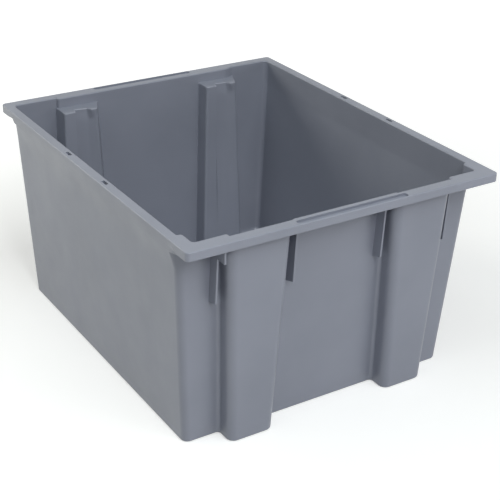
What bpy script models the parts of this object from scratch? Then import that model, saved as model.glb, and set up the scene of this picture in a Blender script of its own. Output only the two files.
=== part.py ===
"""Stack-and-nest storage tote, 495 x 597 x 325 mm over its rim.

The tote is one polyethylene moulding. It is modelled as its moulded features, each a closed
solid of its own: floor panels, drafted walls, front posts, back pillars, stacking ledges,
rim plates, lips and gussets.

Frame: metres, +Z up, the origin at the centre of the underside. The posts are on the front
wall, at -Y, and the pillars on the back wall, at +Y. An inset is measured in from the rim's
outer edge, and a drafted size has one value at the rim and one at the underside.
"""

import math

import bmesh
import bpy

COLLECTION = "stack_and_nest_tote"
CUTTER_COLLECTION = "tote_cutters"

# Overall size, over the rim
WIDTH = 0.495
LENGTH = 0.597
HEIGHT = 0.325

# Sheet thicknesses
WALL = 0.0035
FLOOR = 0.004
RIM_PLATE = 0.004
GUSSET_THICKNESS = 0.003

# Insets of the walls' outer faces, at the rim and at the underside
SIDE_INSET_TOP = 0.0085
SIDE_INSET_BOTTOM = 0.027
POST_INSET_TOP = 0.014
POST_INSET_BOTTOM = 0.030
FRONT_INSET_TOP = 0.0405
FRONT_INSET_BOTTOM = 0.061
BACK_INSET_TOP = 0.0185
BACK_INSET_BOTTOM = 0.026
PILLAR_INSET_TOP = 0.047
PILLAR_INSET_BOTTOM = 0.056

# Posts, in a pair about the middle of the tote
POST_CENTER = 0.1307
POST_HALF_TOP = 0.0487
POST_HALF_BOTTOM = 0.0352

# Pillars, in a pair about a line beside the middle of the tote, their right sides splayed
PILLAR_CENTER = 0.129
PILLAR_SHIFT = -0.0063
PILLAR_HALF_TOP = 0.0275
PILLAR_HALF_BOTTOM = 0.0385
PILLAR_SPLAY = 0.014

# Stacking ledges, below the top of the rim
LEDGE_DROP = 0.016
LEDGE_THICKNESS = 0.0035

# Rim, lip and side bead
FRONT_RIM_SHELF = 0.0065
SIDE_BEAD_WIDTH = 0.0145
SIDE_BEAD_HEIGHT = 0.008
LIP_HEIGHT = 0.013
LIP_THICKNESS = 0.0035
RIM_RADIUS = 0.006
LIP_RETURN_LAP = 0.008
CORNER_WEB = 0.0095
EDGE_RADIUS = 0.003

# Lid slots in the side beads
SLOT_LENGTH = 0.014
SLOT_WIDTH = 0.005
SLOT_DEPTH = 0.006
SLOT_SPACING = 0.118

# Seating grooves in the front and back rim plates
GROOVE_LENGTH = 0.176
GROOVE_WIDTH = 0.010
GROOVE_DEPTH = 0.002
GROOVE_EDGE = 0.0015
GROOVE_SHIFT = 0.0035

# Gussets beside the posts, and the tooth on the outer left one
LEFT_OUTER_GUSSET_X = -0.1887
LEFT_INNER_GUSSET_X = -0.0702
RIGHT_INNER_GUSSET_X = 0.0732
RIGHT_OUTER_GUSSET_X = 0.184
GUSSET_DEPTH = 0.0165
GUSSET_LENGTH = 0.086
TOOTH_INSET = 0.008
TOOTH_LENGTH = 0.021

# Clearance between pieces that meet, and how far a cutter stands clear of what it cuts
SEAM = 0.0003
CUTTER_MARGIN = 0.005

ARC_SEGMENTS = 4

# Grey polyethylene
PLASTIC_COLOR = (0.218, 0.231, 0.288, 1.0)
PLASTIC_ROUGHNESS = 0.42
PLASTIC_METALLIC = 0.0

SIDES = (("left", -1), ("right", 1))

LEDGE_Z = HEIGHT - LEDGE_DROP
LEDGE_UNDER_Z = LEDGE_Z - LEDGE_THICKNESS
RIM_UNDER_Z = HEIGHT - RIM_PLATE
BEAD_UNDER_Z = HEIGHT - SIDE_BEAD_HEIGHT
LIP_BOTTOM_Z = HEIGHT - LIP_HEIGHT
FLOOR_SEAM_Z = FLOOR + SEAM
FRONT_EDGE = -LENGTH / 2
BACK_EDGE = LENGTH / 2
PILLAR_DEPTH = PILLAR_INSET_TOP - BACK_INSET_TOP


def drafted(at_rim, at_underside):
    """A size that changes evenly from the underside to the rim."""
    return lambda z: at_underside + (at_rim - at_underside) * z / HEIGHT


def value(size, z):
    return size(z) if callable(size) else size


def limit(size, far, z):
    """An X limit at a level, from a size or from a pair for the low and the high Y."""
    if isinstance(size, tuple):
        size = size[far]
    return value(size, z)


def moved(size, distance):
    return lambda z: value(size, z) + distance


def negative(size):
    return lambda z: -value(size, z)


side_inset = drafted(SIDE_INSET_TOP, SIDE_INSET_BOTTOM)
post_inset = drafted(POST_INSET_TOP, POST_INSET_BOTTOM)
front_inset = drafted(FRONT_INSET_TOP, FRONT_INSET_BOTTOM)
back_inset = drafted(BACK_INSET_TOP, BACK_INSET_BOTTOM)
pillar_inset = drafted(PILLAR_INSET_TOP, PILLAR_INSET_BOTTOM)
post_half = drafted(POST_HALF_TOP, POST_HALF_BOTTOM)
pillar_half = drafted(PILLAR_HALF_TOP, PILLAR_HALF_BOTTOM)


def side_face(z):
    """Distance of a side wall's outer face from the middle of the tote."""
    return WIDTH / 2 - side_inset(z)


def post_face(z):
    return FRONT_EDGE + post_inset(z)


def front_face(z):
    return FRONT_EDGE + front_inset(z)


def back_face(z):
    return BACK_EDGE - back_inset(z)


def pillar_face(z):
    return BACK_EDGE - pillar_inset(z)


def post_inner(z):
    return POST_CENTER - post_half(z)


def post_outer(z):
    return POST_CENTER + post_half(z)


def pillar_sides(sign):
    """Low and high X of a pillar's face."""
    middle = sign * PILLAR_CENTER + PILLAR_SHIFT
    return moved(negative(pillar_half), middle), moved(pillar_half, middle)


def splayed(side, start, end, shift=0.0):
    """A pillar's right side between two depths, which are measured back from its face."""
    return tuple(moved(side, shift + PILLAR_SPLAY * depth / PILLAR_DEPTH) for depth in (start, end))


FRONT_RIM_DEPTH = POST_INSET_TOP + WALL
BACK_RIM_DEPTH = BACK_INSET_TOP + WALL
FRONT_RIM_INNER = FRONT_EDGE + FRONT_RIM_DEPTH
FRONT_RISER_INNER = FRONT_RIM_INNER + FRONT_RIM_SHELF
BACK_RIM_INNER = BACK_EDGE - BACK_RIM_DEPTH
BEAD_INNER = WIDTH / 2 - SIDE_BEAD_WIDTH


def beside_pillars(low, high, start):
    """Low and high X of the three stretches that the pillars leave, from a depth to the back."""
    left_low, left_high = pillar_sides(-1)
    right_low, right_high = pillar_sides(1)
    return (
        (low, moved(left_low, -SEAM)),
        (splayed(left_high, start, PILLAR_DEPTH, SEAM), moved(right_low, -SEAM)),
        (splayed(right_high, start, PILLAR_DEPTH, SEAM), high),
    )


def mirrored(sign, near, far):
    """Low and high X of a piece between two distances from the middle of the tote."""
    if sign > 0:
        return near, far
    return negative(far), negative(near)


def moulded_plastic(name):
    material = bpy.data.materials.new(name + "_plastic")
    material.use_nodes = True
    shader = material.node_tree.nodes["Principled BSDF"]
    shader.inputs["Base Color"].default_value = PLASTIC_COLOR
    shader.inputs["Roughness"].default_value = PLASTIC_ROUGHNESS
    shader.inputs["Metallic"].default_value = PLASTIC_METALLIC
    return material


def add_object(name, mesh_builder, collection):
    mesh = bpy.data.meshes.new(name)
    mesh_builder.normal_update()
    bmesh.ops.recalc_face_normals(mesh_builder, faces=mesh_builder.faces[:])
    mesh_builder.to_mesh(mesh)
    mesh_builder.free()
    piece = bpy.data.objects.new(name, mesh)
    bpy.data.collections[collection].objects.link(piece)
    if collection == COLLECTION:
        mesh.materials.append(moulded_plastic(name))
    return piece


def drafted_block(name, x, y, z, rounded=(), radius=EDGE_RADIUS, collection=COLLECTION):
    """A block whose X and Y limits follow the draft, with X limits that may differ along Y.

    rounded lists the upright edges to round, each as the signs of its X and Y side.
    """
    mesh_builder = bmesh.new()
    bmesh.ops.create_cube(mesh_builder, size=2.0)
    upright = [
        edge for edge in mesh_builder.edges
        if edge.verts[0].co.z * edge.verts[1].co.z < 0
        and (round(edge.verts[0].co.x), round(edge.verts[0].co.y)) in rounded
    ]
    for vertex in mesh_builder.verts:
        level = z[vertex.co.z > 0]
        far = vertex.co.y > 0
        vertex.co = (limit(x[vertex.co.x > 0], far, level), value(y[far], level), level)
    if upright:
        bmesh.ops.bevel(
            mesh_builder, geom=upright, offset=radius, segments=ARC_SEGMENTS,
            profile=0.5, affect="EDGES",
        )
    return add_object(name, mesh_builder, collection)


def outline_plate(name, outline, thickness):
    """A flat outline of 3D points, drawn out along thickness."""
    mesh_builder = bmesh.new()
    face = mesh_builder.faces.new([mesh_builder.verts.new(point) for point in outline])
    drawn = bmesh.ops.extrude_face_region(mesh_builder, geom=[face])
    far_points = [item for item in drawn["geom"] if isinstance(item, bmesh.types.BMVert)]
    bmesh.ops.translate(mesh_builder, verts=far_points, vec=thickness)
    return add_object(name, mesh_builder, COLLECTION)


def cut(piece, cutter):
    cutter.hide_render = True
    cutter.display_type = "WIRE"
    boolean = piece.modifiers.new("cut_" + cutter.name, "BOOLEAN")
    boolean.operation = "DIFFERENCE"
    boolean.solver = "EXACT"
    boolean.object = cutter


def build_floor():
    """The floor, notched at the back under the pillars' channels, and the posts' feet."""
    z = (0.0, FLOOR)
    wide = (negative(side_face), side_face)
    drafted_block("floor_main_panel", wide, (front_face, moved(pillar_face, -SEAM)), z)
    strip = (pillar_face, back_face)
    left, middle, right = beside_pillars(negative(side_face), side_face, 0.0)
    drafted_block("floor_back_left_strip", left, strip, z, ((-1, 1),))
    drafted_block("floor_back_middle_strip", middle, strip, z)
    drafted_block("floor_back_right_strip", right, strip, z, ((1, 1),))
    for side, sign in SIDES:
        foot = mirrored(sign, post_inner, post_outer)
        drafted_block(
            f"front_{side}_post_foot", foot, (post_face, moved(front_face, -SEAM)), z,
            ((-1, -1), (1, -1)),
        )


def build_side_walls():
    for side, sign in SIDES:
        x = mirrored(sign, moved(side_face, -WALL), side_face)
        drafted_block(
            f"{side}_side_wall", x, (front_face, back_face),
            (FLOOR_SEAM_Z, LEDGE_UNDER_Z - SEAM), ((sign, -1), (sign, 1)),
        )
        drafted_block(
            f"{side}_upper_wall", x,
            (moved(front_face, WALL + SEAM), back_face),
            (LEDGE_UNDER_Z, BEAD_UNDER_Z - SEAM),
        )


def build_front_wall():
    """Three panels set back between the posts, each with a ledge and a riser above it.

    A web on each end ledge thickens the rim's corner.
    """
    between_posts = moved(post_inner, -SEAM)
    at_side = moved(side_face, -WALL - SEAM)
    past_post = moved(post_outer, SEAM)
    middle = (negative(between_posts), between_posts)
    sections = [("middle", middle, middle, middle)]
    for side, sign in SIDES:
        panel = mirrored(sign, past_post, at_side)
        shelf = mirrored(sign, past_post, side_face)
        riser = mirrored(sign, past_post, BEAD_INNER - SEAM)
        sections.append((side, panel, shelf, riser))
    for section, panel, shelf, riser in sections:
        drafted_block(
            f"front_{section}_panel", panel, (front_face, moved(front_face, WALL)),
            (FLOOR_SEAM_Z, LEDGE_UNDER_Z - SEAM),
        )
        drafted_block(
            f"front_{section}_ledge", shelf,
            (FRONT_RIM_INNER + SEAM, moved(front_face, WALL)), (LEDGE_UNDER_Z, LEDGE_Z),
        )
        drafted_block(
            f"front_{section}_riser", riser,
            (FRONT_RIM_INNER + SEAM, FRONT_RISER_INNER), (LEDGE_Z + SEAM, HEIGHT),
        )
    for side, sign in SIDES:
        drafted_block(
            f"front_{side}_corner_web", mirrored(sign, BEAD_INNER - CORNER_WEB, BEAD_INNER - SEAM),
            (FRONT_RISER_INNER + SEAM, moved(front_face, WALL)), (LEDGE_Z + SEAM, HEIGHT),
        )


def build_front_posts():
    for side, sign in SIDES:
        drafted_block(
            f"front_{side}_post_face", mirrored(sign, post_inner, post_outer),
            (post_face, moved(post_face, WALL)), (FLOOR_SEAM_Z, RIM_UNDER_Z - SEAM),
            ((-1, -1), (1, -1)),
        )
        depth = (moved(post_face, WALL + SEAM), moved(front_face, WALL))
        height = (FLOOR_SEAM_Z, LEDGE_Z)
        inner = mirrored(sign, post_inner, moved(post_inner, WALL))
        drafted_block(f"front_{side}_post_inner_cheek", inner, depth, height)
        outer = mirrored(sign, moved(post_outer, -WALL), post_outer)
        drafted_block(f"front_{side}_post_outer_cheek", outer, depth, height)


def build_back_wall():
    """Three panels at the outside, with the two pillars standing in between them."""
    at_side = moved(side_face, -WALL - SEAM)
    depth = (moved(back_face, -WALL), back_face)
    panels = beside_pillars(negative(at_side), at_side, PILLAR_DEPTH - WALL)
    for place, width in zip(("left", "middle", "right"), panels):
        drafted_block(f"back_{place}_panel", width, depth, (FLOOR_SEAM_Z, LEDGE_Z))
    drafted_block(
        "back_upper_wall", (negative(at_side), at_side), depth,
        (LEDGE_Z + SEAM, RIM_UNDER_Z - SEAM),
    )


def build_back_pillars():
    for side, sign in SIDES:
        low, high = pillar_sides(sign)
        height = (FLOOR_SEAM_Z, LEDGE_UNDER_Z - SEAM)
        drafted_block(
            f"back_{side}_pillar_face", (low, high), (moved(pillar_face, -WALL), pillar_face),
            height, ((-1, -1), (1, -1)),
        )
        left_cheek = (low, moved(low, WALL))
        right_side = splayed(high, 0.0, PILLAR_DEPTH)
        right_cheek = (splayed(high, 0.0, PILLAR_DEPTH, -WALL), right_side)
        inner, outer = (left_cheek, right_cheek) if sign > 0 else (right_cheek, left_cheek)
        depth = (moved(pillar_face, SEAM), back_face)
        drafted_block(f"back_{side}_pillar_inner_cheek", inner, depth, height)
        drafted_block(f"back_{side}_pillar_outer_cheek", outer, depth, height)
        drafted_block(
            f"back_{side}_ledge", (low, splayed(high, -WALL, PILLAR_DEPTH)),
            (moved(pillar_face, -WALL), back_face), (LEDGE_UNDER_Z, LEDGE_Z),
            ((-1, -1), (1, -1)),
        )


def build_end_rims():
    """The front and back rim plates, each with a seating groove beside its middle."""
    plates = (
        ("front", (FRONT_EDGE, FRONT_RIM_INNER), ((-1, -1), (1, -1)), FRONT_EDGE, 1),
        ("back", (BACK_RIM_INNER, BACK_EDGE), ((-1, 1), (1, 1)), BACK_EDGE, -1),
    )
    for end, depth, corners, edge, inward in plates:
        plate = drafted_block(
            f"{end}_rim_plate", (-WIDTH / 2, WIDTH / 2), depth, (RIM_UNDER_Z, HEIGHT),
            corners, RIM_RADIUS,
        )
        groove_start = edge + inward * GROOVE_EDGE
        groove_edges = sorted((groove_start, groove_start + inward * GROOVE_WIDTH))
        groove_middle = inward * GROOVE_SHIFT
        groove = drafted_block(
            f"{end}_groove_cutter",
            (groove_middle - GROOVE_LENGTH / 2, groove_middle + GROOVE_LENGTH / 2), groove_edges,
            (HEIGHT - GROOVE_DEPTH, HEIGHT + CUTTER_MARGIN), collection=CUTTER_COLLECTION,
        )
        cut(plate, groove)


def build_side_beads():
    """The thickened side rims, each with two lid slots let into its top."""
    for side, sign in SIDES:
        outer = WIDTH / 2
        bead = drafted_block(
            f"{side}_rim_bead", mirrored(sign, BEAD_INNER, outer),
            (FRONT_RIM_INNER + SEAM, BACK_RIM_INNER - SEAM),
            (BEAD_UNDER_Z, HEIGHT),
        )
        slot_near = outer - SIDE_BEAD_WIDTH / 2 - SLOT_WIDTH / 2
        for end, place in (("front", -SLOT_SPACING / 2), ("back", SLOT_SPACING / 2)):
            slot = drafted_block(
                f"{side}_{end}_slot_cutter", mirrored(sign, slot_near, slot_near + SLOT_WIDTH),
                (place - SLOT_LENGTH / 2, place + SLOT_LENGTH / 2),
                (HEIGHT - SLOT_DEPTH, HEIGHT + CUTTER_MARGIN), collection=CUTTER_COLLECTION,
            )
            cut(bead, slot)


def quarter_ring(center, sign_x, sign_y, outer, inner, level):
    """Outline of a quarter ring that rounds one corner of the lip."""
    steps = [math.pi / 2 * step / (2 * ARC_SEGMENTS) for step in range(2 * ARC_SEGMENTS + 1)]
    out = [(outer, angle) for angle in steps]
    back = [(inner, angle) for angle in reversed(steps)]
    outline = []
    for radius, angle in out + back:
        x = center[0] + sign_x * radius * math.cos(angle)
        y = center[1] + sign_y * radius * math.sin(angle)
        outline.append((x, y, level))
    return outline


def build_lips():
    """The skirt below the end rims, round both corners and back to the side walls."""
    z = (LIP_BOTTOM_Z, RIM_UNDER_Z - SEAM)
    straight = WIDTH / 2 - RIM_RADIUS - SEAM
    ends = (
        ("front", -1, FRONT_EDGE, FRONT_INSET_TOP),
        ("back", 1, BACK_EDGE, BACK_INSET_TOP),
    )
    for end, outward, edge, reach in ends:
        depth = sorted((edge, edge - outward * LIP_THICKNESS))
        drafted_block(f"{end}_lip", (-straight, straight), depth, z)
        for side, sign in SIDES:
            center = (sign * (WIDTH / 2 - RIM_RADIUS), edge - outward * RIM_RADIUS)
            outline_plate(
                f"{end}_{side}_lip_corner",
                quarter_ring(center, sign, outward, RIM_RADIUS, RIM_RADIUS - LIP_THICKNESS, z[0]),
                (0.0, 0.0, z[1] - z[0]),
            )
            run_start = edge - outward * (RIM_RADIUS + SEAM)
            run_end = edge - outward * (reach + LIP_RETURN_LAP)
            drafted_block(
                f"{end}_{side}_lip_return",
                mirrored(sign, WIDTH / 2 - LIP_THICKNESS, WIDTH / 2), sorted((run_start, run_end)),
                (LIP_BOTTOM_Z, BEAD_UNDER_Z - SEAM),
            )


def build_gussets():
    """Thin plates beside the posts, and the tooth that joins the outer left one to the lip."""
    top = LEDGE_UNDER_Z - SEAM
    gusset_front = moved(front_face, -GUSSET_DEPTH)
    places = (
        ("left_outer", LEFT_OUTER_GUSSET_X),
        ("left_inner", LEFT_INNER_GUSSET_X),
        ("right_inner", RIGHT_INNER_GUSSET_X),
        ("right_outer", RIGHT_OUTER_GUSSET_X),
    )
    for place, middle in places:
        x = (middle - GUSSET_THICKNESS / 2, middle + GUSSET_THICKNESS / 2)
        drafted_block(
            f"front_{place}_gusset", x, (gusset_front, moved(front_face, -SEAM)),
            (top - GUSSET_LENGTH, top),
        )
    tooth_x = LEFT_OUTER_GUSSET_X - GUSSET_THICKNESS / 2
    tooth_front = FRONT_EDGE + TOOTH_INSET
    tooth_bottom = LIP_BOTTOM_Z - TOOTH_LENGTH
    tooth_top = RIM_UNDER_Z - SEAM
    at_gusset = moved(gusset_front, -SEAM)
    tooth = [
        (tooth_x, tooth_front, tooth_top),
        (tooth_x, tooth_front, tooth_bottom),
        (tooth_x, at_gusset(tooth_bottom), tooth_bottom),
        (tooth_x, at_gusset(top), top),
        (tooth_x, FRONT_RIM_INNER, top),
        (tooth_x, FRONT_RIM_INNER, tooth_top),
    ]
    outline_plate("front_lip_tooth", tooth, (GUSSET_THICKNESS, 0.0, 0.0))


def clear_scene():
    for existing in list(bpy.data.objects):
        bpy.data.objects.remove(existing, do_unlink=True)


def add_collection(name):
    collection = bpy.data.collections.new(name)
    bpy.context.scene.collection.children.link(collection)


def main():
    clear_scene()
    add_collection(COLLECTION)
    add_collection(CUTTER_COLLECTION)
    build_floor()
    build_side_walls()
    build_front_wall()
    build_front_posts()
    build_back_wall()
    build_back_pillars()
    build_end_rims()
    build_side_beads()
    build_lips()
    build_gussets()


main()
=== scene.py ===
"""Looks of the stack-and-nest storage tote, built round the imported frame.

The tote is one polyethylene moulding, so its skin is one closed mesh. It is lofted through
outlines of the tote, ring by ring: from the underside up the outer walls, over the rim and
down the inner walls to the floor. The gussets and the tooth under the front lip are pieces
of their own. Metres, +Z up, the front wall with its posts at -Y.
"""

import math
from types import SimpleNamespace

import bmesh
import bpy
from mathutils import Matrix, Vector


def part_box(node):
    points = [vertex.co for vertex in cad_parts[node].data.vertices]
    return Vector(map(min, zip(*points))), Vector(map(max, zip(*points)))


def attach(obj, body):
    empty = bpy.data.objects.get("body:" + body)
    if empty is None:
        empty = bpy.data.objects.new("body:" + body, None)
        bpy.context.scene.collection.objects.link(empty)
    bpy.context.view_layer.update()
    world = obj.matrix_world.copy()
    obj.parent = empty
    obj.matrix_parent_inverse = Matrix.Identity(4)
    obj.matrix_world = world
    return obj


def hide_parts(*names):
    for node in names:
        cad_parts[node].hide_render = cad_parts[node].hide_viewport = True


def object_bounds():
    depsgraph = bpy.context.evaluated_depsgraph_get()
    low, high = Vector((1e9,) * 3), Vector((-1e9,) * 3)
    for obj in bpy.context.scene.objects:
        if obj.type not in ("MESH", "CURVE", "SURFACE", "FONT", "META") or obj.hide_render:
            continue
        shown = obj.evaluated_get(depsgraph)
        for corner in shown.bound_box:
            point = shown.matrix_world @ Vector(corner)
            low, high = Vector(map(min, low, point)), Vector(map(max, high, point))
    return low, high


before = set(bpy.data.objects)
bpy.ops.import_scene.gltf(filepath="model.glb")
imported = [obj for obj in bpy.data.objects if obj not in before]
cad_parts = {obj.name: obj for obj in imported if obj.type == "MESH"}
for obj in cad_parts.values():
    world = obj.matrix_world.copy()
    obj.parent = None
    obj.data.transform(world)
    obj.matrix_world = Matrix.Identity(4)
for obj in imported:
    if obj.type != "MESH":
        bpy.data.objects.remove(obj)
CAD_LOW, CAD_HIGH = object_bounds()

BODY = "root"

# Size over the rim, from the frame
HALF_WIDTH = (CAD_HIGH.x - CAD_LOW.x) / 2
FRONT_EDGE = CAD_LOW.y
BACK_EDGE = CAD_HIGH.y
HEIGHT = CAD_HIGH.z

# Sheet thicknesses
WALL = 0.0035
FLOOR = 0.004
RIM_PLATE = 0.0065

# Insets of the walls' outer faces from the rim's edge, at the rim and at the underside
SIDE_INSET = (0.0085, 0.027)
POST_INSET = (0.014, 0.030)
FRONT_INSET = (0.0405, 0.061)
BACK_INSET = (0.0185, 0.026)
BACK_CORNER_INSET = (0.013, 0.022)
PILLAR_INSET = (0.047, 0.056)

# Posts in a pair about the middle, and pillars in a pair about a line beside it
POST_CENTER = 0.1307
POST_HALF = (0.0487, 0.0352)
PILLAR_CENTER = 0.129
PILLAR_SHIFT = -0.0063
PILLAR_HALF = (0.0275, 0.0385)
PILLAR_SPLAY = 0.014

# Roundings of the upright edges on the outer skin, at the rim and at the underside
FRONT_CORNER_RADIUS = (0.012, 0.011)
BACK_CORNER_RADIUS = (0.022, 0.014)
BACK_INNER_CORNER_RADIUS = 0.008
POST_EDGE_RADIUS = (0.013, 0.012)
POST_ROOT_RADIUS = 0.005
PILLAR_EDGE_RADIUS = 0.0005
PILLAR_ROOT_RADIUS = 0.005
OPENING_STEP_RADIUS = 0.0015

# Roundings of the level edges
UNDERSIDE_RADIUS = 0.003
FLOOR_RADIUS = 0.008
LEDGE_EDGE_RADIUS = 0.0015
LEDGE_COVE = 0.002

# Stacking ledges below the rim's top
LEDGE_DROP = 0.016
LEDGE_THICKNESS = 0.0035
LEDGE_Z = HEIGHT - LEDGE_DROP
LEDGE_UNDER_Z = LEDGE_Z - LEDGE_THICKNESS

# Notch in the front edge of each back ledge: depths at shares of the pillar's width. Down the
# pillar's face it becomes a ramp, which fades out
NOTCH = ((0.34, 0.0), (0.37, 0.011), (0.74, 0.008), (0.81, 0.001), (1.0, 0.0))
RAMP = ((0.34, 0.0), (0.37, 0.011), (0.74, 0.0075), (1.0, 0.0))
NOTCH_HEIGHT = 0.020
RAMP_HEIGHT = 0.250

# Rim, lip and side bead
FRONT_RIM_DEPTH = POST_INSET[0] + WALL
FRONT_MIDDLE_DEPTH = FRONT_RIM_DEPTH + 0.002
FRONT_CORNER_DEPTH = FRONT_RIM_DEPTH + 0.0065
BACK_RIM_DEPTH = BACK_INSET[0] + WALL + 0.0005
BACK_CORNER_RIM_DEPTH = BACK_CORNER_INSET[0] + WALL + 0.0005
BEAD_WIDTH = 0.0145
CORNER_WEB_WIDTH = 0.0215
CORNER_WEB_REACH = 0.0515
LIP_HEIGHT = 0.013
LIP_THICKNESS = 0.0035
LIP_EDGE_RADIUS = 0.0012
RIM_CORNER_RADIUS = 0.006
END_EDGE_RADIUS = 0.0015
SIDE_EDGE_RADIUS = 0.0015
RIM_INNER_RADIUS = 0.0020
RIM_UNDER_Z = HEIGHT - RIM_PLATE
LIP_BOTTOM_Z = HEIGHT - LIP_HEIGHT

# Where the lip runs out along the side walls, measured from the rim's ends
FRONT_RUNOUT = (0.028, 0.046)
BACK_RUNOUT = (0.020, 0.070)

# Height over which the side walls flare out to the rim
FLARE_HEIGHT = 0.050
FLARE_TOP_Z = HEIGHT - SIDE_EDGE_RADIUS

# Lid slots and seating grooves
SLOT_SIZE = (0.005, 0.014, 0.006)
SLOT_SPACING = 0.118
GROOVE_SIZE = (0.176, 0.010, 0.0033)
GROOVE_EDGE = 0.0015
GROOVE_SHIFT = 0.0035
CUTTER_MARGIN = 0.004

# Steps of the loft
ARC_STEPS = 6
EDGE_STEPS = 4
WALL_LEVELS = 24
SIDE_RUN = 28
MIDDLE_RUN = 10
PILLAR_RUN = 32
SHORT_RUN = 3
MERGE_DISTANCE = 0.00001
SMOOTH_ANGLE = math.radians(35)

# How far a rib sinks into the skin that carries it, and the rounding of its edges
RIB_SINK = 0.002
RIB_EDGE_RADIUS = 0.0007
FOOT_SLANT = 3


def drafted(ends, z):
    """A size at a level, from its values at the rim and at the underside."""
    at_rim, at_underside = ends
    return at_underside + (at_rim - at_underside) * z / HEIGHT


def quarter(steps):
    """Angles of a quarter turn, both ends included."""
    return [math.pi / 2 * step / steps for step in range(steps + 1)]


def smooth_share(value, start, end):
    """0 before start and 1 after end, with an easy rise in between."""
    share = min(1.0, max(0.0, (value - start) / (end - start)))
    return share * share * (3 - 2 * share)


# Outlines of the tote


def wall_section(z, skin=0.0, cove=0.0):
    """The walls at a level, skin in from the outer faces, with the channels narrowed by cove."""
    post_half = drafted(POST_HALF, z) - skin + cove
    pillar_half = drafted(PILLAR_HALF, z) - WALL + skin - cove
    side = HALF_WIDTH - drafted(SIDE_INSET, z) - skin
    front = FRONT_EDGE + drafted(FRONT_INSET, z) + skin - cove
    corner_radius = drafted(FRONT_CORNER_RADIUS, z) - skin
    return SimpleNamespace(
        side=side,
        web=side,
        web_end=max(FRONT_EDGE + CORNER_WEB_REACH, front + corner_radius),
        front=front,
        middle=front,
        post=FRONT_EDGE + drafted(POST_INSET, z) + skin,
        back=BACK_EDGE - drafted(BACK_INSET, z) - skin,
        back_corner=BACK_EDGE - drafted(BACK_CORNER_INSET, z) - skin,
        pillar=BACK_EDGE - drafted(PILLAR_INSET, z) - skin + cove,
        post_in=POST_CENTER - post_half,
        post_out=POST_CENTER + post_half,
        pillar_half=pillar_half,
        corner_radius=corner_radius,
        back_radius=drafted(BACK_CORNER_RADIUS, z) if skin < WALL else BACK_INNER_CORNER_RADIUS,
        web_radius=0.0,
        post_edge=drafted(POST_EDGE_RADIUS, z) - skin,
        post_root=POST_ROOT_RADIUS + skin,
        pillar_edge=PILLAR_EDGE_RADIUS + skin,
        pillar_root=PILLAR_ROOT_RADIUS - skin,
    )


def upper_section(z):
    """The outer walls above the ledges, where the front and the back run straight."""
    section = wall_section(z)
    section.front = section.post
    section.middle = section.post
    section.pillar = section.back
    return section


def rim_section(inset):
    """The rim's own outline, moved in by inset."""
    section = wall_section(HEIGHT)
    section.side = HALF_WIDTH - inset
    section.web = section.side
    section.web_end = FRONT_EDGE + CORNER_WEB_REACH
    section.front = FRONT_EDGE + inset
    section.middle = section.front
    section.post = section.front
    section.back = BACK_EDGE - inset
    section.back_corner = section.back
    section.pillar = section.back
    section.corner_radius = RIM_CORNER_RADIUS - inset
    section.back_radius = RIM_CORNER_RADIUS - inset
    return section


def opening_section(z, widened=0.0):
    """The opening inside the rim, above the ledges, widened at its rounded edge."""
    section = wall_section(z, WALL - widened)
    section.post_in -= LEDGE_EDGE_RADIUS
    section.post_out += LEDGE_EDGE_RADIUS
    section.pillar_half -= LEDGE_EDGE_RADIUS
    section.side = HALF_WIDTH - BEAD_WIDTH + widened
    section.web = HALF_WIDTH - CORNER_WEB_WIDTH + widened
    section.web_end = FRONT_EDGE + CORNER_WEB_REACH - widened
    section.front = FRONT_EDGE + FRONT_CORNER_DEPTH - widened
    section.middle = FRONT_EDGE + FRONT_MIDDLE_DEPTH - widened
    section.post = FRONT_EDGE + FRONT_RIM_DEPTH - widened
    section.back = BACK_EDGE - BACK_RIM_DEPTH + widened
    section.back_corner = BACK_EDGE - BACK_CORNER_RIM_DEPTH + widened
    section.pillar = section.back
    section.web_radius = FRONT_CORNER_RADIUS[1] / 2
    section.corner_radius = FRONT_CORNER_RADIUS[1] / 2
    section.post_edge = OPENING_STEP_RADIUS
    section.post_root = OPENING_STEP_RADIUS
    section.pillar_root = OPENING_STEP_RADIUS
    section.back_radius = BACK_INNER_CORNER_RADIUS
    return section


def inner_section(z, cove=0.0):
    """The inner walls, no wider than the opening in the rim's sides."""
    section = wall_section(z, WALL, cove)
    section.side = min(section.side, HALF_WIDTH - BEAD_WIDTH)
    section.web = section.side
    return section


def fillet(before, corner, after, radii):
    """Points of a square corner's rounding, which shares each side with the next corner's."""
    to_before = before - corner
    to_after = after - corner
    radius_before, radius, radius_after = radii
    if radius < MERGE_DISTANCE:
        return [corner] * (ARC_STEPS + 1)
    reach = min(
        radius,
        to_before.length * radius / (radius + radius_before),
        to_after.length * radius / (radius + radius_after),
    )
    start = corner + to_before.normalized() * reach
    end = corner + to_after.normalized() * reach
    center = start + end - corner
    return [
        center + (start - center) * math.cos(angle) + (end - center) * math.sin(angle)
        for angle in quarter(ARC_STEPS)
    ]


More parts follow.
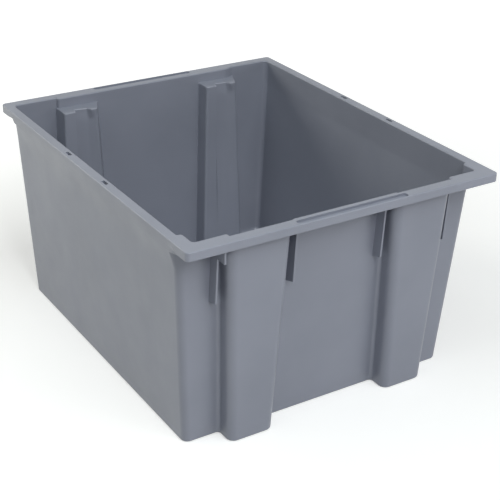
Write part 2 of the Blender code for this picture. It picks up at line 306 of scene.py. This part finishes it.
def half_corners(section, sign):
    """Corners of an outline's half from front to back: X, Y, rounding and points to the next."""
    s = section
    pillar_middle = PILLAR_CENTER + sign * PILLAR_SHIFT
    pillar_in = pillar_middle - s.pillar_half
    pillar_out = pillar_middle + s.pillar_half
    root_in = pillar_in - (PILLAR_SPLAY if sign < 0 else 0.0)
    root_out = pillar_out + (PILLAR_SPLAY if sign > 0 else 0.0)
    corners = [
        (s.post_in, s.middle, s.post_root, SHORT_RUN),
        (s.post_in, s.post, s.post_edge, SHORT_RUN),
        (s.post_out, s.post, s.post_edge, SHORT_RUN),
        (s.post_out, s.front, s.post_root, SHORT_RUN),
        (s.web, s.front, s.corner_radius, SHORT_RUN),
        (s.web, s.web_end, s.web_radius, SHORT_RUN),
        (s.side, s.web_end, s.web_radius, SIDE_RUN),
        (s.side, s.back_corner, s.back_radius, SHORT_RUN),
        (root_out, s.back_corner, s.pillar_root, SHORT_RUN),
        (pillar_out, s.pillar, s.pillar_edge, PILLAR_RUN),
        (pillar_in, s.pillar, s.pillar_edge, SHORT_RUN),
        (root_in, s.back, s.pillar_root, MIDDLE_RUN),
    ]
    return [(sign * x, y, radius, run) for x, y, radius, run in corners]


def outline(section):
    """Points of a section's closed outline, anticlockwise from the middle of the front."""
    right = half_corners(section, 1)
    left = list(reversed(half_corners(section, -1)))
    runs = [run for _, _, _, run in left[1:]] + [MIDDLE_RUN]
    corners = right + [(x, y, radius, run) for (x, y, radius, _), run in zip(left, runs)]
    places = [Vector((x, y)) for x, y, _, _ in corners]
    radii = [max(0.0, radius) for _, _, radius, _ in corners]
    count = len(corners)
    arcs = []
    for i in range(count):
        following = (i + 1) % count
        around = (radii[i - 1], radii[i], radii[following])
        arcs.append(fillet(places[i - 1], places[i], places[following], around))
    points = []
    for i, arc in enumerate(arcs):
        points += arc
        following = arcs[(i + 1) % count][0]
        steps = corners[i][3]
        points += [arc[-1].lerp(following, step / (steps + 1)) for step in range(1, steps + 1)]
    return points


def ring(section, z):
    return [Vector((point.x, point.y, z)) for point in outline(section)]


def end_share(y):
    """1 round the rim's front and back, 0 along its sides."""
    front_share = 1 - smooth_share(y - FRONT_EDGE, *FRONT_RUNOUT)
    back_share = 1 - smooth_share(BACK_EDGE - y, *BACK_RUNOUT)
    return max(front_share, back_share)


def wall_ring(section, z):
    """A ring of the outer walls, flared out to the rim along the sides."""
    flare = drafted(SIDE_INSET, z) * smooth_share(z, HEIGHT - FLARE_HEIGHT, FLARE_TOP_Z)
    points = ring(section, z)
    for point in points:
        on_side = smooth_share(abs(point.x), section.side - WALL, section.side)
        point.x += math.copysign(flare * on_side * (1 - end_share(point.y)), point.x)
    return points


def rim_ring(section, z, side_inset, side_z):
    """A ring of the lip round the ends, and of the side walls in between."""
    round_end = ring(section, z)
    along_side = ring(rim_section(side_inset), side_z)
    return [side.lerp(end, end_share(end.y)) for side, end in zip(along_side, round_end)]


def depth_at(profile, place):
    """Depth of a profile of places and depths, straight in between and 0 beyond its ends."""
    for (start, start_depth), (end, end_depth) in zip(profile, profile[1:]):
        if start <= place <= end:
            return start_depth + (end_depth - start_depth) * (place - start) / (end - start)
    return 0.0


def notched(points, z, skin):
    """Sets each pillar's face back into the notch of its ledge and the ramp below it."""
    section = wall_section(z, skin)
    ramp_share = min(1.0, max(0.0, 1 - (LEDGE_Z - z) / RAMP_HEIGHT))
    notch_share = smooth_share(z, LEDGE_Z - NOTCH_HEIGHT, LEDGE_Z)
    for point in points:
        if point.y < 0 or point.y > (section.pillar + section.back) / 2:
            continue
        sign = math.copysign(1, point.x)
        left_edge = sign * PILLAR_CENTER + PILLAR_SHIFT - section.pillar_half
        place = (point.x - left_edge) / (2 * section.pillar_half)
        ramp = depth_at(RAMP, place) * ramp_share
        point.y += ramp + (depth_at(NOTCH, place) - ramp) * notch_share
    return points


# The moulded skin


def outer_rings():
    """From the underside up the outer walls to the underside of the rim."""
    rings = []
    for angle in quarter(EDGE_STEPS):
        inset = UNDERSIDE_RADIUS * (1 - math.sin(angle))
        z = UNDERSIDE_RADIUS * (1 - math.cos(angle))
        rings.append(ring(wall_section(z, inset), z))
    top = LEDGE_UNDER_Z - LEDGE_COVE
    for level in range(1, WALL_LEVELS):
        z = UNDERSIDE_RADIUS + (top - UNDERSIDE_RADIUS) * level / WALL_LEVELS
        rings.append(notched(wall_ring(wall_section(z), z), z, 0.0))
    for angle in quarter(EDGE_STEPS):
        cove = LEDGE_COVE * (1 - math.cos(angle))
        z = top + LEDGE_COVE * math.sin(angle)
        rings.append(notched(wall_ring(wall_section(z, cove=cove), z), z, 0.0))
    rings.append(wall_ring(upper_section(LEDGE_UNDER_Z), LEDGE_UNDER_Z))
    return rings


def lip_profile():
    """Sections and levels of the lip, from the top of the wall round to its outer face."""
    profile = [
        (upper_section(RIM_UNDER_Z), RIM_UNDER_Z),
        (rim_section(LIP_THICKNESS), RIM_UNDER_Z),
    ]
    for angle in quarter(EDGE_STEPS):
        inset = LIP_THICKNESS - LIP_EDGE_RADIUS * (1 - math.cos(angle))
        z = LIP_BOTTOM_Z + LIP_EDGE_RADIUS * (1 - math.sin(angle))
        profile.append((rim_section(inset), z))
    for angle in quarter(EDGE_STEPS):
        inset = LIP_EDGE_RADIUS * (1 - math.sin(angle))
        z = LIP_BOTTOM_Z + LIP_EDGE_RADIUS * (1 - math.cos(angle))
        profile.append((rim_section(inset), z))
    return profile


def rim_rings():
    """Round the lip and over the rim's top to the edge of its opening."""
    rings = []
    profile = lip_profile()
    for step, (section, z) in enumerate(profile, start=1):
        side_z = LEDGE_UNDER_Z + (FLARE_TOP_Z - LEDGE_UNDER_Z) * step / len(profile)
        flare = smooth_share(side_z, HEIGHT - FLARE_HEIGHT, FLARE_TOP_Z)
        rings.append(rim_ring(section, z, drafted(SIDE_INSET, side_z) * (1 - flare), side_z))
    for angle in quarter(EDGE_STEPS):
        inset = 1 - math.cos(angle)
        drop = 1 - math.sin(angle)
        rings.append(rim_ring(
            rim_section(END_EDGE_RADIUS * inset), HEIGHT - END_EDGE_RADIUS * drop,
            SIDE_EDGE_RADIUS * inset, HEIGHT - SIDE_EDGE_RADIUS * drop,
        ))
    for angle in quarter(EDGE_STEPS):
        widened = RIM_INNER_RADIUS * (1 - math.sin(angle))
        z = HEIGHT - RIM_INNER_RADIUS * (1 - math.cos(angle))
        rings.append(ring(opening_section(z, widened), z))
    return rings


def inner_rings():
    """Down the inner walls, over the ledges and to the floor."""
    rings = [ring(opening_section(LEDGE_Z), LEDGE_Z)]
    for angle in quarter(EDGE_STEPS):
        drop = LEDGE_EDGE_RADIUS * (1 - math.cos(angle))
        cove = LEDGE_EDGE_RADIUS * (1 - math.sin(angle))
        z = LEDGE_Z - drop
        rings.append(notched(ring(inner_section(z, cove), z), z, WALL))
    top = LEDGE_Z - LEDGE_EDGE_RADIUS
    bottom = FLOOR + FLOOR_RADIUS
    for level in range(1, 2 * WALL_LEVELS):
        z = top + (bottom - top) * (level / (2 * WALL_LEVELS)) ** 2
        rings.append(notched(ring(inner_section(z), z), z, WALL))
    for angle in quarter(EDGE_STEPS):
        skin = WALL + FLOOR_RADIUS * (1 - math.cos(angle))
        z = FLOOR + FLOOR_RADIUS * (1 - math.sin(angle))
        rings.append(ring(wall_section(z, skin), z))
    return rings


def add_piece(name, mesh_builder, material):
    mesh = bpy.data.meshes.new(name)
    mesh_builder.to_mesh(mesh)
    mesh_builder.free()
    piece = bpy.data.objects.new(name, mesh)
    bpy.context.scene.collection.objects.link(piece)
    if material:
        mesh.materials.append(material)
    return piece


def loft(rings):
    """A closed mesh through rings of equally many points, capped at both ends."""
    mesh_builder = bmesh.new()
    loops = [[mesh_builder.verts.new(point) for point in points] for points in rings]
    for lower, upper in zip(loops, loops[1:]):
        for i in range(len(lower)):
            following = (i + 1) % len(lower)
            mesh_builder.faces.new((lower[i], lower[following], upper[following], upper[i]))
    mesh_builder.faces.new(list(reversed(loops[0])))
    mesh_builder.faces.new(loops[-1])
    bmesh.ops.remove_doubles(mesh_builder, verts=mesh_builder.verts[:], dist=MERGE_DISTANCE)
    bmesh.ops.dissolve_degenerate(mesh_builder, edges=mesh_builder.edges[:], dist=MERGE_DISTANCE)
    bmesh.ops.recalc_face_normals(mesh_builder, faces=mesh_builder.faces[:])
    return mesh_builder


def rounded_cutter(name, low, high, radius):
    """A block with rounded upright edges."""
    mesh_builder = bmesh.new()
    bmesh.ops.create_cube(mesh_builder, size=1.0)
    size = high - low
    for vertex in mesh_builder.verts:
        vertex.co = low + Vector([(c + 0.5) * length for c, length in zip(vertex.co, size)])
    upright = [
        edge for edge in mesh_builder.edges
        if abs(edge.verts[0].co.z - edge.verts[1].co.z) > size.z / 2
    ]
    bmesh.ops.bevel(
        mesh_builder, geom=upright, offset=radius, segments=EDGE_STEPS, profile=0.5, affect="EDGES",
    )
    return add_piece(name, mesh_builder, None)


def slot_and_groove_cutters():
    cutters = []
    top = HEIGHT + CUTTER_MARGIN
    for sign in (-1, 1):
        for place in (-SLOT_SPACING / 2, SLOT_SPACING / 2):
            middle = Vector((sign * (HALF_WIDTH - BEAD_WIDTH / 2), place, 0.0))
            half = Vector((SLOT_SIZE[0] / 2, SLOT_SIZE[1] / 2, 0.0))
            low = middle - half + Vector((0.0, 0.0, HEIGHT - SLOT_SIZE[2]))
            high = middle + half + Vector((0.0, 0.0, top))
            cutters.append(rounded_cutter("slot_cutter", low, high, SLOT_SIZE[0] / 3))
    for edge, inward in ((FRONT_EDGE, 1), (BACK_EDGE, -1)):
        near = edge + inward * GROOVE_EDGE
        far = near + inward * GROOVE_SIZE[1]
        middle = inward * GROOVE_SHIFT
        low = Vector((middle - GROOVE_SIZE[0] / 2, min(near, far), HEIGHT - GROOVE_SIZE[2]))
        high = Vector((middle + GROOVE_SIZE[0] / 2, max(near, far), top))
        cutters.append(rounded_cutter("groove_cutter", low, high, GROOVE_SIZE[1] / 3))
    return cutters


def cut(piece, cutters):
    """Cuts the pieces in cutters out of piece and removes them."""
    for cutter in cutters:
        boolean = piece.modifiers.new("cut", "BOOLEAN")
        boolean.operation = "DIFFERENCE"
        boolean.solver = "EXACT"
        boolean.object = cutter
    bpy.context.view_layer.update()
    evaluated = piece.evaluated_get(bpy.context.evaluated_depsgraph_get())
    finished = bpy.data.meshes.new_from_object(evaluated)
    piece.modifiers.clear()
    piece.data = finished
    for cutter in cutters:
        bpy.data.objects.remove(cutter)


def smooth(piece):
    piece.data.shade_smooth()
    piece.data.set_sharp_from_angle(angle=SMOOTH_ANGLE)
    weighted = piece.modifiers.new("even_normals", "WEIGHTED_NORMAL")
    weighted.keep_sharp = True


def build_skin(material):
    skin = add_piece("moulded_skin", loft(outer_rings() + rim_rings() + inner_rings()), material)
    cut(skin, slot_and_groove_cutters())
    smooth(skin)
    return skin


# Ribs under the front lip


def rib(name, outline_points, thickness, material):
    """A thin plate across X, from its outline in the YZ plane, with softened edges."""
    mesh_builder = bmesh.new()
    face = mesh_builder.faces.new([mesh_builder.verts.new(point) for point in outline_points])
    drawn = bmesh.ops.extrude_face_region(mesh_builder, geom=[face])
    far = [item for item in drawn["geom"] if isinstance(item, bmesh.types.BMVert)]
    bmesh.ops.translate(mesh_builder, verts=far, vec=(thickness, 0.0, 0.0))
    bmesh.ops.bevel(
        mesh_builder, geom=mesh_builder.edges[:], offset=RIB_EDGE_RADIUS, segments=2,
        profile=0.5, affect="EDGES",
    )
    bmesh.ops.recalc_face_normals(mesh_builder, faces=mesh_builder.faces[:])
    piece = add_piece(name, mesh_builder, material)
    smooth(piece)
    return piece


def build_gusset(node, material):
    """A gusset in its node's place, with a slanted foot, sunk into the panel and the ledge."""
    low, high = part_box(node)
    top = high.z + RIB_SINK
    depth = FRONT_EDGE + drafted(FRONT_INSET, high.z) - low.y
    foot = low.z + depth / FOOT_SLANT

    def at_panel(z):
        return FRONT_EDGE + drafted(FRONT_INSET, z)

    points = [
        (low.x, at_panel(top) - depth, top),
        (low.x, at_panel(foot) - depth, foot),
        (low.x, at_panel(low.z) + RIB_SINK, low.z),
        (low.x, at_panel(top) + RIB_SINK, top),
    ]
    return rib(node + "_rib", points, high.x - low.x, material)


def build_tooth(node, material):
    """The bracket between the outer left gusset and the rim, sunk into both."""
    low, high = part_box(node)
    top = high.z + RIB_SINK
    ledge = LEDGE_UNDER_Z + RIB_SINK
    points = [
        (low.x, low.y, top),
        (low.x, low.y, low.z),
        (low.x, high.y + RIB_SINK, low.z),
        (low.x, high.y + RIB_SINK, ledge),
        (low.x, FRONT_EDGE + FRONT_RIM_DEPTH, ledge),
        (low.x, FRONT_EDGE + FRONT_RIM_DEPTH, top),
    ]
    return rib(node + "_rib", points, high.x - low.x, material)


# Finishes

PLASTIC_PALE = (0.230, 0.243, 0.296, 1.0)
PLASTIC_DEEP = (0.206, 0.219, 0.268, 1.0)
FLOOR_COLOR = (0.65, 0.65, 0.65, 1.0)
FLOOR_GLOW = (0.40, 0.85)
FLOOR_GLOW_REACH = (0.5, 1.6)


def add_node(tree, kind, **settings):
    node = tree.nodes.new(kind)
    for name, setting in settings.items():
        setattr(node, name, setting)
    return node


def set_inputs(node, **values):
    for name, setting in values.items():
        node.inputs[name.replace("_", " ")].default_value = setting


def noise(tree, place, scale, detail, roughness):
    texture = add_node(tree, "ShaderNodeTexNoise")
    set_inputs(texture, Scale=scale, Detail=detail, Roughness=roughness)
    tree.links.new(place, texture.inputs["Vector"])
    return texture.outputs["Fac"]


def spread(tree, value, from_low, from_high, to_low, to_high):
    """Maps a value's range onto another, clamped."""
    mapped = add_node(tree, "ShaderNodeMapRange")
    set_inputs(mapped, From_Min=from_low, From_Max=from_high, To_Min=to_low, To_Max=to_high)
    tree.links.new(value, mapped.inputs["Value"])
    return mapped.outputs["Result"]


def mix_colors(tree, share, first, second):
    mix = add_node(tree, "ShaderNodeMix", data_type="RGBA")
    for socket, color in ((mix.inputs["A"], first), (mix.inputs["B"], second)):
        if isinstance(color, bpy.types.NodeSocket):
            tree.links.new(color, socket)
        else:
            socket.default_value = color
    tree.links.new(share, mix.inputs["Factor"])
    return mix.outputs["Result"]


def bumped(tree, height, strength, distance, normal=None):
    bump = add_node(tree, "ShaderNodeBump")
    set_inputs(bump, Strength=strength, Distance=distance)
    tree.links.new(height, bump.inputs["Height"])
    if normal:
        tree.links.new(normal, bump.inputs["Normal"])
    return bump.outputs["Normal"]


def polyethylene():
    """Satin grey moulded plastic: cloudy in tone, with faint waves and a fine grain."""
    material = bpy.data.materials.new("satin_grey_polyethylene")
    material.use_nodes = True
    tree = material.node_tree
    shader = tree.nodes["Principled BSDF"]
    set_inputs(shader, Metallic=0.0, IOR=1.5)
    place = add_node(tree, "ShaderNodeTexCoord").outputs["Object"]

    clouds = noise(tree, place, 6.0, 3.0, 0.55)
    cloud_share = spread(tree, clouds, 0.35, 0.65, 0.0, 1.0)
    color = mix_colors(tree, cloud_share, PLASTIC_DEEP, PLASTIC_PALE)
    tree.links.new(color, shader.inputs["Base Color"])

    handling = noise(tree, place, 14.0, 5.0, 0.6)
    roughness = spread(tree, handling, 0.3, 0.7, 0.34, 0.46)
    tree.links.new(roughness, shader.inputs["Roughness"])

    waves = bumped(tree, noise(tree, place, 9.0, 1.0, 0.4), 0.25, 0.002)
    grained = bumped(tree, noise(tree, place, 900.0, 2.0, 0.5), 0.06, 0.0004, waves)
    tree.links.new(grained, shader.inputs["Normal"])
    return material


def studio_floor():
    """A pale matt floor that whitens away from the tote, so that only its shadow shows."""
    material = bpy.data.materials.new("pale_studio_floor")
    material.use_nodes = True
    tree = material.node_tree
    shader = tree.nodes["Principled BSDF"]
    set_inputs(shader, Base_Color=FLOOR_COLOR, Roughness=0.9, Emission_Color=(1.0, 1.0, 1.0, 1.0))
    place = add_node(tree, "ShaderNodeTexCoord").outputs["Object"]
    distance = add_node(tree, "ShaderNodeVectorMath", operation="LENGTH")
    tree.links.new(place, distance.inputs[0])
    glow = spread(tree, distance.outputs["Value"], *FLOOR_GLOW_REACH, *FLOOR_GLOW)
    seen_glow = add_node(tree, "ShaderNodeMath", operation="MULTIPLY")
    tree.links.new(glow, seen_glow.inputs[0])
    tree.links.new(seen_rays(tree), seen_glow.inputs[1])
    tree.links.new(seen_glow.outputs["Value"], shader.inputs["Emission Strength"])
    return material


# Studio and camera

# The photograph's view: its angles in degrees, distance and the point it looks at
VIEW_AZIMUTH = -32.199
VIEW_ELEVATION = 26.872
VIEW_ROLL = 0.999
VIEW_DISTANCE = 1.88484
VIEW_TARGET = Vector((0.02956, 0.0, 0.12904))
FOCAL_PIXELS = 1206.44
IMAGE_PIXELS = 500
SENSOR_WIDTH = 36.0

FLOOR_HALF = 12.0
AMBIENT = 0.03

WHITE_LIGHT = (1.0, 1.0, 1.0)
WARM_LIGHT = (1.0, 0.98, 0.86)
COOL_LIGHT = (0.94, 1.0, 0.98)

# Softboxes: place, size, power and color
SOFTBOXES = {
    "front_key_softbox": ((-0.5, -2.3, 1.9), (0.7, 0.7), 24.0, WHITE_LIGHT),
    "front_top_softbox": ((0.0, -1.3, 2.4), (1.6, 1.6), 36.0, COOL_LIGHT),
    "left_top_softbox": ((-1.5, 0.0, 2.4), (1.6, 1.6), 19.0, COOL_LIGHT),
    "back_left_softbox": ((-1.7, 2.0, 1.1), (1.0, 0.8), 26.0, WARM_LIGHT),
    "front_right_low_softbox": ((1.9, -2.4, 0.5), (1.8, 0.8), 16.0, WHITE_LIGHT),
}
SOFTBOX_TARGET = (0.0, 0.0, 0.2)


def view_axes(azimuth, elevation):
    """Right, up and back directions of a camera at an azimuth and elevation, in radians."""
    back = Vector((
        math.sin(azimuth) * math.cos(elevation),
        -math.cos(azimuth) * math.cos(elevation),
        math.sin(elevation),
    ))
    right = Vector((math.cos(azimuth), math.sin(azimuth), 0.0))
    return right, back.cross(right), back


def add_camera():
    right, up, back = view_axes(math.radians(VIEW_AZIMUTH), math.radians(VIEW_ELEVATION))
    roll = math.radians(VIEW_ROLL)
    turned_right = right * math.cos(roll) + up * math.sin(roll)
    turned_up = up * math.cos(roll) - right * math.sin(roll)
    camera_data = bpy.data.cameras.new("photo_camera")
    camera_data.sensor_width = SENSOR_WIDTH
    camera_data.lens = FOCAL_PIXELS * SENSOR_WIDTH / IMAGE_PIXELS
    camera = bpy.data.objects.new("photo_camera", camera_data)
    turn = Matrix((turned_right, turned_up, back)).transposed().to_4x4()
    camera.matrix_world = Matrix.Translation(VIEW_TARGET + back * VIEW_DISTANCE) @ turn
    bpy.context.scene.collection.objects.link(camera)
    bpy.context.scene.camera = camera


def add_softbox(name, place, size, watts, color):
    light = bpy.data.lights.new(name, "AREA")
    light.shape = "RECTANGLE"
    light.size, light.size_y = size
    light.energy = watts
    light.color = color
    softbox = bpy.data.objects.new(name, light)
    softbox.location = place
    softbox.rotation_mode = "QUATERNION"
    softbox.rotation_quaternion = (Vector(SOFTBOX_TARGET) - Vector(place)).to_track_quat("-Z", "Y")
    bpy.context.scene.collection.objects.link(softbox)


def seen_rays(tree):
    """1 for rays that show the background: straight, mirrored or through glass."""
    paths = add_node(tree, "ShaderNodeLightPath").outputs
    seen = paths["Is Camera Ray"]
    for name in ("Is Glossy Ray", "Is Transmission Ray"):
        either = add_node(tree, "ShaderNodeMath", operation="MAXIMUM")
        tree.links.new(seen, either.inputs[0])
        tree.links.new(paths[name], either.inputs[1])
        seen = either.outputs["Value"]
    return seen


def white_studio():
    """A soft even ambient light that the camera sees as plain white."""
    world = bpy.data.worlds.new("white_studio")
    world.use_nodes = True
    tree = world.node_tree
    background = tree.nodes["Background"]
    set_inputs(background, Color=(1.0, 1.0, 1.0, 1.0))
    strength = spread(tree, seen_rays(tree), 0.0, 1.0, AMBIENT, 1.0)
    tree.links.new(strength, background.inputs["Strength"])
    return world


def add_studio():
    mesh_builder = bmesh.new()
    bmesh.ops.create_grid(mesh_builder, x_segments=1, y_segments=1, size=FLOOR_HALF)
    floor = add_piece("studio_floor", mesh_builder, studio_floor())
    bpy.context.scene.world = white_studio()
    for name, settings in SOFTBOXES.items():
        add_softbox(name, *settings)
    bpy.context.scene.view_settings.view_transform = "Standard"


add_camera()
add_studio()

plastic = polyethylene()
skin = build_skin(plastic)
ribs = []
for side in ("left", "right"):
    for place in ("inner", "outer"):
        node = f"front_{side}_{place}_gusset"
        ribs.append((build_gusset(node, plastic), node))
ribs.append((build_tooth("front_lip_tooth", plastic), "front_lip_tooth"))
for piece, node in ribs:
    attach(piece, BODY)
    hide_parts(node)
rib_nodes = [node for _, node in ribs]
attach(skin, BODY)
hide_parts(*[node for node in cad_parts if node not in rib_nodes])
